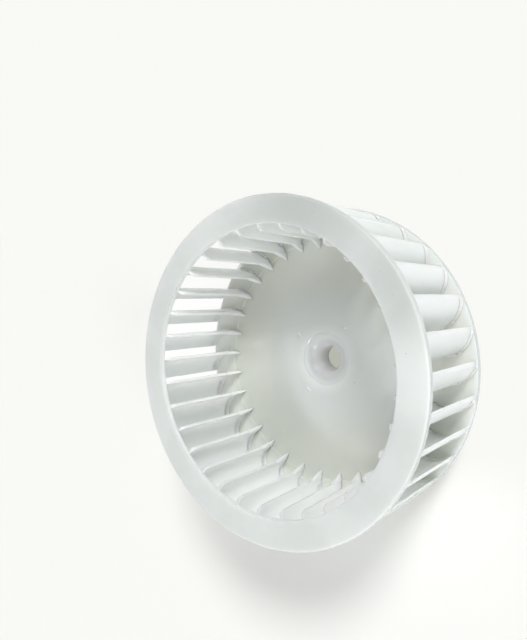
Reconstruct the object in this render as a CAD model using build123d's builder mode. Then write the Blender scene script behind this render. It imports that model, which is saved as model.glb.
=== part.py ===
import os
from math import cos, radians, sin, tan

from build123d import *

os.makedirs("parts", exist_ok=True)

# Dryer blower wheel: a drum of forward-curved blades between an open front ring
# and a closed back plate, on a short split collar for the motor shaft.
# All sizes in mm. +Z runs from the collar's rear end to the open front.

# Whole wheel
wheel_radius = 100.0
wheel_depth = 72.6
blade_count = 33

# Back plate
plate_thickness = 3.3
collar_length = 14.0
seam_radius = 79.0
seam_step = 0.35
rim_round = 0.6

# Hub
shaft_diameter = 15.875
shaft_clearance = 0.06
collar_outer_diameter = 22.4
collar_chamfer = 0.6
collar_root_round = 2.0
slot_count = 2
slot_first_angle = 84.1
slot_width = 2.0
slot_depth = 8.0
mouth_round = 8.0
hub_ledge_radius = 17.2
hub_ledge_drop = 0.5
hub_ledge_round = 0.3

# Gate marks left on the plate around the hub
gate_count = 4
gate_circle_radius = 25.4
gate_first_angle = 51.1
gate_radius = 1.3
gate_tip_radius = 0.6
gate_height = 0.45

# Front ring
ring_thickness = 3.3
ring_width = 16.6
ring_outer_round = 1.3
ring_inner_round = 0.8

# Blade section: a short tapered root that runs into one arc towards the rim.
# The arc's centre is given by its depth inside the rim and its angle about the wheel's axis.
arc_centre_inset = 17.1
arc_centre_angle = 11.75
arc_outer_radius = 17.85
arc_end_angle = -8.0
blade_thickness = 1.6
lip_round = 0.7
root_slope = -8.3
root_end_thickness = 0.7

# Blade outline seen from the side: depths inside the rim and heights above the plate's face
tip_inset = 26.1
knee_inset = 21.4
knee_height = 10.7
fin_margin = 0.5
inner_edge_inset = 20.5
corner_round = 3.8

# Weld between the blades and their stubs on the plate. A stub stands proud of the blade's back.
stub_height = 4.2
stub_margin = 0.5
stub_start_angle = -81.0
weld_notch_clearance = 0.05
fin_clearance = 0.05
outline_allowance = 1.0

# Derived levels and radii
plate_back = collar_length
plate_face = plate_back + plate_thickness
weld_level = plate_face + stub_height
ring_front = plate_back + wheel_depth
ring_back = ring_front - ring_thickness
bore_radius = (shaft_diameter + shaft_clearance) / 2
collar_radius = collar_outer_diameter / 2
centre_face = plate_face - seam_step
hub_floor = centre_face - hub_ledge_drop
mouth_radius = bore_radius + mouth_round
ring_inner_radius = wheel_radius - ring_width
face_radius = wheel_radius - rim_round
arc_inner_radius = arc_outer_radius - blade_thickness
tip_radius = wheel_radius - tip_inset
knee_radius = wheel_radius - knee_inset
inner_edge_radius = wheel_radius - inner_edge_inset
root_start = tip_radius - outline_allowance

# Points of the blade section, with the first blade's root along +X
arc_centre = Vector(
    (wheel_radius - arc_centre_inset) * cos(radians(arc_centre_angle)),
    (wheel_radius - arc_centre_inset) * sin(radians(arc_centre_angle)),
)


def on_arc(radius, angle):
    return arc_centre + Vector(radius * cos(radians(angle)), radius * sin(radians(angle)))


def beyond(point, direction, distance):
    return point + Vector(-sin(radians(direction)), cos(radians(direction))) * distance


root_angle = root_slope - 90
middle_angle = (root_angle + arc_end_angle) / 2
back_start = on_arc(arc_outer_radius, root_angle)
back_end = on_arc(arc_outer_radius, arc_end_angle)
front_start = on_arc(arc_inner_radius, root_angle)
front_end = on_arc(arc_inner_radius, arc_end_angle)
lip_middle = beyond((back_end + front_end) / 2, arc_end_angle, lip_round)
back_root = Vector(root_start, back_start.Y + (root_start - back_start.X) * tan(radians(root_slope)))
front_root = beyond(back_root, root_slope, root_end_thickness)

# Points where the fin, which widens from its tip, ends in a small step at the knee
fin_back = beyond(back_start, root_slope, -fin_margin)
fin_front = beyond(front_start, root_slope, fin_margin)

# Points of a weld stub's section, which follows the blade's arc
stub_back_radius = arc_outer_radius + stub_margin
stub_middle_angle = (stub_start_angle + arc_end_angle) / 2
stub_back_start = on_arc(stub_back_radius, stub_start_angle)
stub_back_end = on_arc(stub_back_radius, arc_end_angle)
stub_front_start = on_arc(arc_inner_radius, stub_start_angle)
stub_lip_middle = beyond((stub_back_end + front_end) / 2, arc_end_angle, lip_round)
notch_radius = stub_front_start.X - weld_notch_clearance

# Section of one weld stub, kept on the plate's flat face
with BuildSketch() as stub_section:
    with BuildLine():
        ThreePointArc(stub_back_start, on_arc(stub_back_radius, stub_middle_angle), stub_back_end)
        ThreePointArc(stub_back_end, stub_lip_middle, front_end)
        ThreePointArc(front_end, on_arc(arc_inner_radius, stub_middle_angle), stub_front_start)
        Line(stub_front_start, stub_back_start)
    make_face()
    Circle(face_radius, mode=Mode.INTERSECT)

# Closed back plate with its collar and the blade stubs
with BuildPart() as back_plate:
    with BuildSketch(Plane.XZ):
        with BuildLine():
            Polyline(
                (bore_radius, 0),
                (collar_radius - collar_chamfer, 0),
                (collar_radius, collar_chamfer),
                (collar_radius, plate_back - collar_root_round),
            )
            RadiusArc(
                (collar_radius, plate_back - collar_root_round),
                (collar_radius + collar_root_round, plate_back),
                collar_root_round,
            )
            Polyline(
                (collar_radius + collar_root_round, plate_back),
                (face_radius, plate_back),
                (wheel_radius, plate_back + rim_round),
                (wheel_radius, plate_face - rim_round),
                (face_radius, plate_face),
                (seam_radius + seam_step, plate_face),
                (seam_radius, centre_face),
                (hub_ledge_radius + hub_ledge_round, centre_face),
                (hub_ledge_radius, centre_face - hub_ledge_round),
                (hub_ledge_radius - hub_ledge_round, hub_floor),
                (mouth_radius, hub_floor),
            )
            RadiusArc((mouth_radius, hub_floor), (bore_radius, hub_floor - mouth_round), -mouth_round)
            Line((bore_radius, hub_floor - mouth_round), (bore_radius, 0))
        make_face()
    revolve(axis=Axis.Z)

    # Slots that let the collar close on the shaft under its clamp
    with BuildSketch(Plane.XY):
        with PolarLocations((collar_radius + bore_radius) / 2, slot_count, start_angle=slot_first_angle):
            Rectangle(collar_outer_diameter - shaft_diameter, slot_width)
    extrude(amount=slot_depth, mode=Mode.SUBTRACT)

    # Gate marks
    with PolarLocations(gate_circle_radius, gate_count, start_angle=gate_first_angle):
        with Locations((0, 0, centre_face + gate_height / 2)):
            Cone(gate_radius, gate_tip_radius, gate_height)

    # Stubs that carry the blades
    with BuildSketch(Plane.XY.offset(plate_face)):
        with PolarLocations(0, blade_count):
            add(stub_section.sketch)
    extrude(amount=stub_height)

back_plate.part.label = "back_plate"
export_step(back_plate.part, "parts/back_plate.step")

# One blade, cut to its side outline: inner edge, knee, pointed fin and weld face
with BuildPart() as blade:
    with BuildSketch(Plane.XY.offset(plate_face)):
        with BuildLine():
            Line(back_root, back_start)
            ThreePointArc(back_start, on_arc(arc_outer_radius, middle_angle), back_end)
            ThreePointArc(back_end, lip_middle, front_end)
            ThreePointArc(front_end, on_arc(arc_inner_radius, middle_angle), front_start)
            Line(front_start, front_root)
            Line(front_root, back_root)
        make_face()
        Circle(face_radius, mode=Mode.INTERSECT)
    extrude(amount=ring_back + ring_thickness / 2 - plate_face)

    with BuildSketch(Plane.XY.offset(plate_face)):
        Polygon(back_root, fin_back, fin_front, front_root, align=None)
    extrude(amount=knee_height)

    with BuildSketch(Plane.XZ):
        with BuildLine():
            Polyline(
                (wheel_radius + outline_allowance, weld_level),
                (notch_radius, weld_level),
                (notch_radius, plate_face + fin_clearance),
                (tip_radius, plate_face + fin_clearance),
                (knee_radius, plate_face + knee_height),
                (inner_edge_radius, ring_back - corner_round),
            )
            RadiusArc(
                (inner_edge_radius, ring_back - corner_round),
                (inner_edge_radius + corner_round, ring_back),
                corner_round,
            )
            Polyline(
                (inner_edge_radius + corner_round, ring_back),
                (inner_edge_radius + corner_round, ring_front),
                (wheel_radius + outline_allowance, ring_front),
                (wheel_radius + outline_allowance, weld_level),
            )
        make_face()
    extrude(amount=wheel_radius / 2, both=True, mode=Mode.INTERSECT)

# Blade cage: the front ring and all blades in one moulding
with BuildPart() as blade_cage:
    with BuildSketch(Plane.XZ):
        with Locations(((ring_inner_radius + wheel_radius) / 2, ring_front - ring_thickness / 2)):
            ring_section = Rectangle(ring_width, ring_thickness)
        front_corners = ring_section.vertices().group_by(Axis.Z)[-1].sort_by(Axis.X)
        fillet(front_corners[-1], ring_outer_round)
        fillet(front_corners[0], ring_inner_round)
    revolve(axis=Axis.Z)
    with PolarLocations(0, blade_count):
        add(blade.part)

blade_cage.part.label = "blade_cage"
export_step(blade_cage.part, "parts/blade_cage.step")
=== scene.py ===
import math
import random

import bmesh
import bpy
from mathutils import Matrix, Vector


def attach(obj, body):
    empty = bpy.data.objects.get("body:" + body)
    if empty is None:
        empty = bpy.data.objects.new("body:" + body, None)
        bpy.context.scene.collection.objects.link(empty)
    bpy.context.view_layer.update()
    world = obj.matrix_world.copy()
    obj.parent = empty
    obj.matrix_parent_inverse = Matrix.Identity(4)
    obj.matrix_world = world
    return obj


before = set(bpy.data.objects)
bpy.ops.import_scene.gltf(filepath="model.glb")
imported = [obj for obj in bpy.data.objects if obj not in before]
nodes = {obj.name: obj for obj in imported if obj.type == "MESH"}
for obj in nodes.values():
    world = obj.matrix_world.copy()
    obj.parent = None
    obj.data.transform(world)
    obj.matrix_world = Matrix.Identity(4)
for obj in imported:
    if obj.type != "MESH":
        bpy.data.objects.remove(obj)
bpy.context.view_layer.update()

print("stage: frame loaded")


# wraps a socket, so that shader maths reads as plain expressions
class Sock:
    def __init__(self, tree, out):
        self.tree = tree
        self.out = out

    def math(self, kind, *values):
        node = self.tree.nodes.new("ShaderNodeMath")
        node.operation = kind
        for value, target in zip(values, node.inputs):
            plug(self.tree, value, target)
        return Sock(self.tree, node.outputs[0])

    def absolute(self):
        return self.math("ABSOLUTE", self)

    def larger(self, other):
        return self.math("MAXIMUM", self, other)

    def __add__(self, other):
        return self.math("ADD", self, other)

    def __radd__(self, other):
        return self.math("ADD", other, self)

    def __sub__(self, other):
        return self.math("SUBTRACT", self, other)

    def __rsub__(self, other):
        return self.math("SUBTRACT", other, self)

    def __mul__(self, other):
        return self.math("MULTIPLY", self, other)

    def __rmul__(self, other):
        return self.math("MULTIPLY", other, self)


def plug(tree, value, target):
    if isinstance(value, Sock):
        tree.links.new(value.out, target)
    else:
        target.default_value = value


# a material, and short ways to add its nodes
class Paint:
    def __init__(self, name):
        self.material = bpy.data.materials.new(name)
        self.material.use_nodes = True
        self.tree = self.material.node_tree
        self.shader = self.tree.nodes["Principled BSDF"]

    # any node: settings come first, then its sockets by name or number
    def node(self, kind, output=0, settings=None, sockets=None):
        made = self.tree.nodes.new(kind)
        for key, value in (settings or {}).items():
            setattr(made, key, value)
        for key, value in (sockets or {}).items():
            plug(self.tree, value, made.inputs[key])
        return Sock(self.tree, made.outputs[output])

    def set(self, name, value):
        plug(self.tree, value, self.shader.inputs[name])

    def vector(self, kind, *values, output="Vector"):
        sockets = dict(enumerate(values))
        return self.node("ShaderNodeVectorMath", output, {"operation": kind}, sockets)

    def mix(self, factor, first, second):
        sockets = {0: factor, 6: first, 7: second}
        return self.node("ShaderNodeMix", 2, {"data_type": "RGBA"}, sockets)

    # runs smoothly from 0 at one value to 1 at another
    def ramp(self, value, start, full):
        sockets = {"Value": value, "From Min": start, "From Max": full}
        return self.node("ShaderNodeMapRange", 0, {"interpolation_type": "SMOOTHSTEP"}, sockets)

    def noise(self, scale, detail):
        sockets = {"Scale": scale, "Detail": detail, "Vector": self.place()}
        return self.node("ShaderNodeTexNoise", "Fac", sockets=sockets)

    def bump(self, height, distance, strength):
        sockets = {"Height": height, "Distance": distance, "Strength": strength}
        return self.node("ShaderNodeBump", sockets=sockets)

    def place(self):
        return self.node("ShaderNodeTexCoord", "Object")

    def height(self):
        return self.node("ShaderNodeSeparateXYZ", "Z", sockets={"Vector": self.place()})

    def fromAxis(self):
        flat = self.vector("MULTIPLY", self.place(), (1, 1, 0))
        return self.vector("LENGTH", flat, output="Value")

    def away(self, point):
        return self.vector("DISTANCE", self.place(), point, output="Value")

    # one inside a flat oval around a point, falling to zero at its edge
    def streak(self, point, turn, length, width):
        offset = self.vector("SUBTRACT", self.place(), point)
        aim = (math.cos(turn) / length, math.sin(turn) / length, 0)
        side = (-math.sin(turn) / width, math.cos(turn) / width, 0)
        along = self.vector("DOT_PRODUCT", offset, aim, output="Value")
        across = self.vector("DOT_PRODUCT", offset, side, output="Value")
        return self.ramp(along * along + across * across, 1.0, 0.3)

    # painted light and shade in soft round patches: centre, radius, strength, colour
    def lightAndShadePatches(self, color, marks):
        for centre, reach, strength, shade in marks:
            patch = self.ramp(self.away(centre), reach, 0.0)
            color = self.mix(patch * strength, color, shade)
        return color

    # other colours in rings about the shaft: radius where each starts, where it is full, colour
    def rings(self, color, marks):
        for start, full, shade in marks:
            color = self.mix(self.ramp(self.fromAxis(), start, full), color, shade)
        return color

    # lays another shader over this one
    def cover(self, factor, other):
        under = Sock(self.tree, self.shader.outputs[0])
        both = self.node("ShaderNodeMixShader", sockets={0: factor, 1: under, 2: other})
        plug(self.tree, both, self.tree.nodes["Material Output"].inputs["Surface"])


# camera, from the ellipses of ring and plate; focal length and centre in pixels of the image
view = {
    "place": (0.203686, 0.021951, 0.335822),
    "right": (0.778735, -0.077524, -0.622545),
    "up": (0.103017, 0.994667, 0.005),
    "focal": 563.689,
    "centre": (262.72, 291.94),
    "image": (527, 640),
    "sensor": 36,
    "nearest": 0.01,
}


def makeCamera():
    data = bpy.data.cameras.new("camera")
    camera = bpy.data.objects.new("camera", data)
    bpy.context.scene.collection.objects.link(camera)
    right = Vector(view["right"]).normalized()
    back = right.cross(Vector(view["up"])).normalized()
    up = back.cross(right)
    turn = Matrix((right, up, back)).transposed()
    camera.matrix_world = Matrix.Translation(view["place"]) @ turn.to_4x4()
    width, height = view["image"]
    centreX, centreY = view["centre"]
    data.sensor_width = view["sensor"]
    data.lens = view["focal"] * view["sensor"] / height
    data.shift_x = (width / 2 - centreX) / height
    data.shift_y = (centreY - height / 2) / height
    data.clip_start = view["nearest"]
    bpy.context.scene.camera = camera


makeCamera()
print("stage: camera")

# natural white plastic that scatters a little light inside, shared by both mouldings
moulded = {
    "Subsurface Weight": 1.0,
    "Subsurface Radius": (1.0, 1.0, 0.9),
    "Subsurface Scale": 0.005,
    "IOR": 1.49,
}


def dress(name, paint):
    for socket, value in moulded.items():
        paint.set(socket, value)
    piece = nodes[name]
    piece.data.materials.clear()
    piece.data.materials.append(paint.material)


plateFace = 0.0173  # height of the plate's face above the floor
# painted light and painted shade for soft patches on the plate
platePaintedLight = (0.80, 0.82, 0.80, 1)
platePaintedShade = (0.57, 0.59, 0.55, 1)

# back plate: lengths in metres, and pairs say where a change of colour starts and is full
plate = {
    "main": (0.715, 0.73, 0.68, 1),
    "deep": (0.68, 0.695, 0.645, 1),
    "cloud": (28.0, 3.0),  # a noise's scale and detail
    "cloudSpan": (0.3, 0.75),
    "middle": [(0.060, 0.028, (0.70, 0.725, 0.71, 1))],
    # painted light and shade: soft lighter and darker patches on the plate's face
    "lightAndShadePatches": [
        ((0.050, -0.025, plateFace), 0.050, 0.85, platePaintedLight),
        ((0.000, 0.000, plateFace), 0.028, 0.3, platePaintedLight),
        ((-0.045, -0.040, plateFace), 0.050, 0.7, platePaintedShade),
        ((-0.050, 0.045, plateFace), 0.025, 0.3, platePaintedShade),
        ((-0.005, 0.080, plateFace), 0.035, 0.5, platePaintedLight),
    ],
    "rings": [
        (0.0785, 0.0900, (0.77, 0.78, 0.75, 1)),  # outside the seam
        (0.0965, 0.0985, (0.76, 0.79, 0.785, 1)),  # rim, lighter: painted light
        (0.0993, 0.0997, (0.56, 0.59, 0.595, 1)),  # edge of the rim, darker: painted shade
        (0.026, 0.014, (0.82, 0.85, 0.835, 1)),  # hub, lighter: painted light
        (0.013, 0.0085, (0.98, 0.98, 0.955, 1)),  # bore, near white: painted light in the bore's shade
    ],
    # painted light: the blade roots as light as the blades, for light shining through them
    "stub": (0.945, 0.968, 0.942, 1),
    "stubSpan": (0.01745, 0.0178),
    # painted highlight colour for the gate marks
    "gateHighlight": (0.98, 0.985, 0.985, 1),
    "gateSpan": (0.0160, 0.0166),
    # painted highlights: bright streaks on the four gate marks: centre, and half the length
    "gateHighlightStreaks": [
        ((-0.0190, 0.0172, 0), 0.0024),
        ((0.0168, 0.0200, 0), 0.0020),
        ((-0.0153, -0.0196, 0), 0.0025),
        ((0.0206, -0.0148, 0), 0.0012),
    ],
    "gateWidth": 0.0007,
    "gateTurn": math.radians(-51),
    "seamRadius": 0.07918,
    "seamSpan": (0.0005, 0.0002),
    "seamRoughness": 0.4,
    "roughness": 0.14,
    "grain": (420.0, 2.0),
    "grainStrength": 0.04,
    "wave": (0.0006, 0.2),  # a bump's distance and strength
}


def makePlatePlastic():
    paint = Paint("plate_plastic")
    cloud = paint.noise(*plate["cloud"])
    grain = paint.noise(*plate["grain"]) * plate["grainStrength"]
    height = paint.height()
    color = paint.mix(paint.ramp(cloud, *plate["cloudSpan"]), plate["main"], plate["deep"])
    color = paint.rings(color, plate["middle"])
    # painted light and shade in soft patches on the plate
    color = paint.lightAndShadePatches(color, plate["lightAndShadePatches"])
    color = paint.rings(color, plate["rings"])
    # painted light on the blade roots
    color = paint.mix(paint.ramp(height, *plate["stubSpan"]), color, plate["stub"])
    onGate = paint.ramp(height, *plate["gateSpan"])
    # painted highlights on the gate marks
    for centre, length in plate["gateHighlightStreaks"]:
        streak = paint.streak(centre, plate["gateTurn"], length, plate["gateWidth"])
        color = paint.mix(streak * onGate, color, plate["gateHighlight"])
    fromSeam = (paint.fromAxis() - plate["seamRadius"]).absolute()
    seam = paint.ramp(fromSeam, *plate["seamSpan"]) * plate["seamRoughness"]
    paint.set("Base Color", color)
    paint.set("Roughness", plate["roughness"] + grain + seam)
    paint.set("Normal", paint.bump(cloud, *plate["wave"]))
    return paint


ringFront = 0.0866  # height of the ring's front face
# painted shade and painted light for patches on the ring's face
ringPaintedShade = (0.54, 0.565, 0.555, 1)
ringPaintedLight = (0.80, 0.832, 0.82, 1)

# front ring and blades, with lengths and pairs as for the plate
cage = {
    "ring": (0.69, 0.718, 0.712, 1),
    "ringDeep": (0.64, 0.668, 0.66, 1),
    "ringSpan": (0.0831, 0.0835),
    "cloud": (38.0, 3.0),
    "cloudSpan": (0.35, 0.7),
    # painted shade in two patches towards +y, painted light in a patch at +x and a faint one at
    # -x
    "ringPaintedLightAndShade": [
        ((0.035, 0.092, ringFront), 0.060, 0.95, ringPaintedShade),
        ((0.090, 0.040, ringFront), 0.035, 0.5, ringPaintedShade),
        ((0.100, -0.008, ringFront), 0.040, 0.9, ringPaintedLight),
        ((-0.045, 0.080, ringFront), 0.030, 0.25, ringPaintedLight),
    ],
    # the ring's edges, painted light on the inner edge and painted shade on the outer: by radius,
    # by height, colour
    "ringEdgeLightAndShade": [
        ((0.0848, 0.0838), (0.0862, 0.0856), (0.85, 0.88, 0.87, 1)),
        ((0.0991, 0.0996), (0.0863, 0.0858), (0.58, 0.615, 0.62, 1)),
    ],
    # painted light: the blades far lighter than the ring, for light shining through the thin
    # blades
    "blade": (0.945, 0.968, 0.942, 1),
    # painted shade: the blades darker towards their outer edges, and in a patch on the side
    # facing the key lamp
    "bladeRimPaintedShade": [(0.086, 0.098, (0.86, 0.935, 0.925, 1))],
    "bladePaintedShade": [((0.060, 0.070, 0.040), 0.060, 0.9, (0.70, 0.755, 0.735, 1))],
    "speck": (0.33, 0.33, 0.30, 1),
    "speckStrength": 0.6,
    # small dark marks in the ring's face: centre and radius
    "specks": [
        ((0.0097, 0.0946, ringFront), 0.0006),
        ((0.0099, 0.0888, ringFront), 0.0005),
        ((0.0445, 0.0821, ringFront), 0.0006),
        ((0.0056, 0.0984, ringFront), 0.0005),
        ((-0.0512, 0.0811, ringFront), 0.0005),
        ((-0.0807, 0.0423, ringFront), 0.0006),
        ((-0.0429, 0.0744, ringFront), 0.0005),
        ((-0.0237, 0.0962, ringFront), 0.0005),
        ((0.0855, 0.0338, ringFront), 0.0006),
        ((0.0799, 0.0462, ringFront), 0.0006),
        ((0.0893, 0.0060, ringFront), 0.0006),
    ],
    "bladeRoughness": 0.22,
    "ringRoughness": 0.42,
    "grain": (500.0, 2.0),
    "grainStrength": 0.06,
    "wave": (0.0007, 0.3),
}


def makeCagePlastic():
    paint = Paint("cage_plastic")
    cloud = paint.noise(*cage["cloud"])
    fine = paint.noise(*cage["grain"])
    grain = fine * cage["grainStrength"]
    radius = paint.fromAxis()
    height = paint.height()
    onRing = paint.ramp(height, *cage["ringSpan"])
    # painted light through the blades, with painted shade on their outer edges and on one side
    bladePaintedLightAndShade = paint.rings(cage["blade"], cage["bladeRimPaintedShade"])
    bladePaintedLightAndShade = paint.lightAndShadePatches(bladePaintedLightAndShade, cage["bladePaintedShade"])
    ringColor = paint.mix(paint.ramp(cloud, *cage["cloudSpan"]), cage["ring"], cage["ringDeep"])
    # painted light and shade in patches on the ring's face
    ringColor = paint.lightAndShadePatches(ringColor, cage["ringPaintedLightAndShade"])
    # painted light on the ring's inner edge, painted shade on its outer edge
    for radiusSpan, heightSpan, shade in cage["ringEdgeLightAndShade"]:
        edge = paint.ramp(radius, *radiusSpan) * paint.ramp(height, *heightSpan)
        ringColor = paint.mix(edge, ringColor, shade)
    color = paint.mix(onRing, bladePaintedLightAndShade, ringColor)
    for centre, reach in cage["specks"]:
        mark = 1 - paint.ramp(paint.away(centre), reach * 0.2, reach)
        color = paint.mix(mark * fine * cage["speckStrength"], color, cage["speck"])
    satin = onRing * (cage["ringRoughness"] - cage["bladeRoughness"])
    paint.set("Base Color", color)
    paint.set("Roughness", cage["bladeRoughness"] + satin + grain)
    paint.set("Normal", paint.bump(cloud + grain, *cage["wave"]))
    return paint


dress("back_plate", makePlatePlastic())
dress("blade_cage", makeCagePlastic())
print("stage: materials")

# drops of plastic squeezed out where blades are welded on, lengths in metres.
# a drop: blade, angle in degrees and distance from that blade's arc centre, height, width
flash = {
    "arcCentre": (0.08116, 0.01687, 0),
    "blades": 33,
    "drops": [
        (1, -58.5, 0.0184, 0.0216, 0.0013),
        (1, -62.0, 0.0183, 0.0215, 0.0007),
        (1, -66.0, 0.0183, 0.0215, 0.0006),
        (0, -58.5, 0.0184, 0.0215, 0.0011),
        (0, -68.0, 0.0184, 0.0215, 0.0012),
        (0, -72.5, 0.0183, 0.0215, 0.0006),
        (-1, -57.0, 0.0184, 0.0215, 0.0009),
        (-1, -62.5, 0.0184, 0.0216, 0.0010),
        (-1, -67.0, 0.0183, 0.0215, 0.0007),
        (-14, -80.8, 0.0159, 0.0195, 0.0013),
        (-14, -76.0, 0.0161, 0.0188, 0.0008),
        (-10, -80.0, 0.0159, 0.0178, 0.0012),
        (-10, -82.5, 0.0160, 0.0193, 0.0009),
        (-9, -88.0, 0.0160, 0.0178, 0.0009),
    ],
    "stretch": (1.35, 0.9, 0.85),  # along the weld, out from it and upwards
    "core": 0.8,  # share of a drop's size before its lumps
    "lumps": 5,
    "lumpSize": (0.1, 0.45),
    "seed": 7,
    "pale": (0.86, 0.935, 0.925, 1),
    "bright": (0.98, 0.985, 0.985, 1),
    "cloud": (900.0, 2.0),
    "roughness": 0.12,
    "cloudRoughness": 0.1,
}


def makeFlashPlastic():
    paint = Paint("flash_plastic")
    cloud = paint.noise(*flash["cloud"])
    paint.set("Base Color", paint.mix(cloud, flash["pale"], flash["bright"]))
    paint.set("Roughness", flash["roughness"] + cloud * flash["cloudRoughness"])
    paint.set("IOR", moulded["IOR"])
    return paint.material


def makeFlash():
    draw = random.Random(flash["seed"])
    alongSize, outSize, upSize = flash["stretch"]
    shape = bmesh.new()
    for blade, angle, distance, height, width in flash["drops"]:
        turn = Matrix.Rotation(blade * 2 * math.pi / flash["blades"], 4, "Z")
        outward = Vector((math.cos(math.radians(angle)), math.sin(math.radians(angle)), 0))
        along = Vector((-outward.y, outward.x, 0))
        centre = Vector(flash["arcCentre"]) + outward * distance + Vector((0, 0, height))
        lumps = []
        for _ in range(flash["lumps"]):
            lump = Vector([draw.uniform(-1, 1) for _ in range(3)]).normalized()
            lumps.append((lump, draw.uniform(*flash["lumpSize"])))
        for vert in bmesh.ops.create_icosphere(shape, subdivisions=3, radius=width / 2)["verts"]:
            aim = vert.co.normalized()
            swell = flash["core"] + sum(size * max(0, aim.dot(lump)) ** 3 for lump, size in lumps)
            point = vert.co * swell
            rise = Vector((0, 0, point.z * upSize))
            offset = along * point.x * alongSize + outward * point.y * outSize + rise
            vert.co = turn @ (centre + offset)
    mesh = bpy.data.meshes.new("weld_flash")
    shape.to_mesh(mesh)
    shape.free()
    mesh.shade_smooth()
    piece = bpy.data.objects.new("weld_flash", mesh)
    bpy.context.scene.collection.objects.link(piece)
    mesh.materials.append(makeFlashPlastic())
    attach(piece, "root")


makeFlash()
print("stage: weld flash")

# floor: white as the camera sees it, but for the side where the wheel's shadow falls
floorSettings = {
    "size": 6.0,
    "tone": (0.905, 0.905, 0.88, 1),
    "roughness": 0.8,
    "backdrop": (0.947, 0.947, 0.922, 1),
    "shadowTurn": math.radians(-115),
    "shadowSpan": (0.06, 0.0),
    "paintedLightPool": (1, 1, 1, 1),  # painted pool of light on the floor, seen between the blades
    "glowPlace": (-0.145, 0.015, 0),
    "glowSpan": (0.078, 0.032),
    # painted light: the floor seen down the bore glows a fixed mid grey
    "paintedBoreGlow": (0.47, 0.485, 0.42, 1),
    "boreSpan": (0.015, 0.012),
}


def makeFloor():
    half = floorSettings["size"] / 2
    corners = [(-half, -half, 0), (half, -half, 0), (half, half, 0), (-half, half, 0)]
    mesh = bpy.data.meshes.new("floor")
    mesh.from_pydata(corners, [], [(0, 1, 2, 3)])
    floor = bpy.data.objects.new("floor", mesh)
    bpy.context.scene.collection.objects.link(floor)
    paint = Paint("floor_white")
    paint.set("Base Color", floorSettings["tone"])
    paint.set("Roughness", floorSettings["roughness"])
    paint.set("Specular IOR Level", 0.0)
    seen = paint.node("ShaderNodeLightPath", "Is Camera Ray")
    for ray in ("Is Glossy Ray", "Is Transmission Ray"):
        seen = seen.larger(paint.node("ShaderNodeLightPath", ray))
    turn = floorSettings["shadowTurn"]
    shadowSide = (math.cos(turn), math.sin(turn), 0)
    side = paint.vector("DOT_PRODUCT", paint.place(), shadowSide, output="Value")
    clear = paint.ramp(side, *floorSettings["shadowSpan"])
    # painted pool of light on the floor beside the wheel
    paintedLightPool = paint.ramp(paint.away(floorSettings["glowPlace"]), *floorSettings["glowSpan"])
    # painted light: a fixed grey glow for the floor down the bore
    under = paint.ramp(paint.fromAxis(), *floorSettings["boreSpan"])
    tone = paint.mix(paintedLightPool, floorSettings["backdrop"], floorSettings["paintedLightPool"])
    tone = paint.mix(under, tone, floorSettings["paintedBoreGlow"])
    shown = paintedLightPool.larger(clear.larger(under))
    light = paint.node("ShaderNodeEmission", sockets={"Color": tone, "Strength": 1.0})
    paint.cover(seen * shown, light)
    mesh.materials.append(paint.material)


makeFloor()

# distant soft lamps: azimuth, elevation and apparent size in degrees.
# a lamp with a height is a box instead, and its sizes are in metres
lamps = [
    {"name": "key", "azimuth": 54, "elevation": 38, "size": 15, "power": 1.83},
    {"name": "low_left", "azimuth": 228, "elevation": 46, "size": 45, "power": 0.8},
    {"name": "low", "azimuth": 262, "elevation": 34, "size": 40, "power": 0.45},
    {"name": "low_right", "azimuth": 315, "elevation": 27, "size": 35, "power": 0.65},
    {"name": "right", "azimuth": 345, "elevation": 35, "size": 30, "power": 0.45},
    {
        "name": "box",
        "azimuth": 187,
        "elevation": 61,
        "size": 0.88,
        "height": 0.38,
        "power": 2.9,
        "glossOnly": True,
    },
    {
        "name": "spark",
        "azimuth": 280,
        "elevation": 45,
        "size": 12,
        "power": 1.2,
        "glossOnly": True,
    },
]
lampDistance = 2
worldStrength = 0.25


def makeLamp(settings):
    boxed = "height" in settings
    data = bpy.data.lights.new(settings["name"], "AREA" if boxed else "SUN")
    data.energy = settings["power"]
    if boxed:
        data.shape = "RECTANGLE"
        data.size = settings["height"]
        data.size_y = settings["size"]
    else:
        data.angle = math.radians(settings["size"])
    azimuth = math.radians(settings["azimuth"])
    elevation = math.radians(settings["elevation"])
    flat = math.cos(elevation)
    aim = Vector((math.cos(azimuth) * flat, math.sin(azimuth) * flat, math.sin(elevation)))
    lamp = bpy.data.objects.new(settings["name"], data)
    lamp.location = aim * lampDistance
    lamp.rotation_euler = aim.to_track_quat("Z", "Y").to_euler()
    lamp.visible_diffuse = not settings.get("glossOnly", False)
    bpy.context.scene.collection.objects.link(lamp)


for settings in lamps:
    makeLamp(settings)

world = bpy.data.worlds.new("world")
bpy.context.scene.world = world
world.use_nodes = True
background = world.node_tree.nodes["Background"]
background.inputs["Color"].default_value = (1, 1, 1, 1)
background.inputs["Strength"].default_value = worldStrength
bpy.context.scene.view_settings.view_transform = "Standard"
print("stage: light and floor")
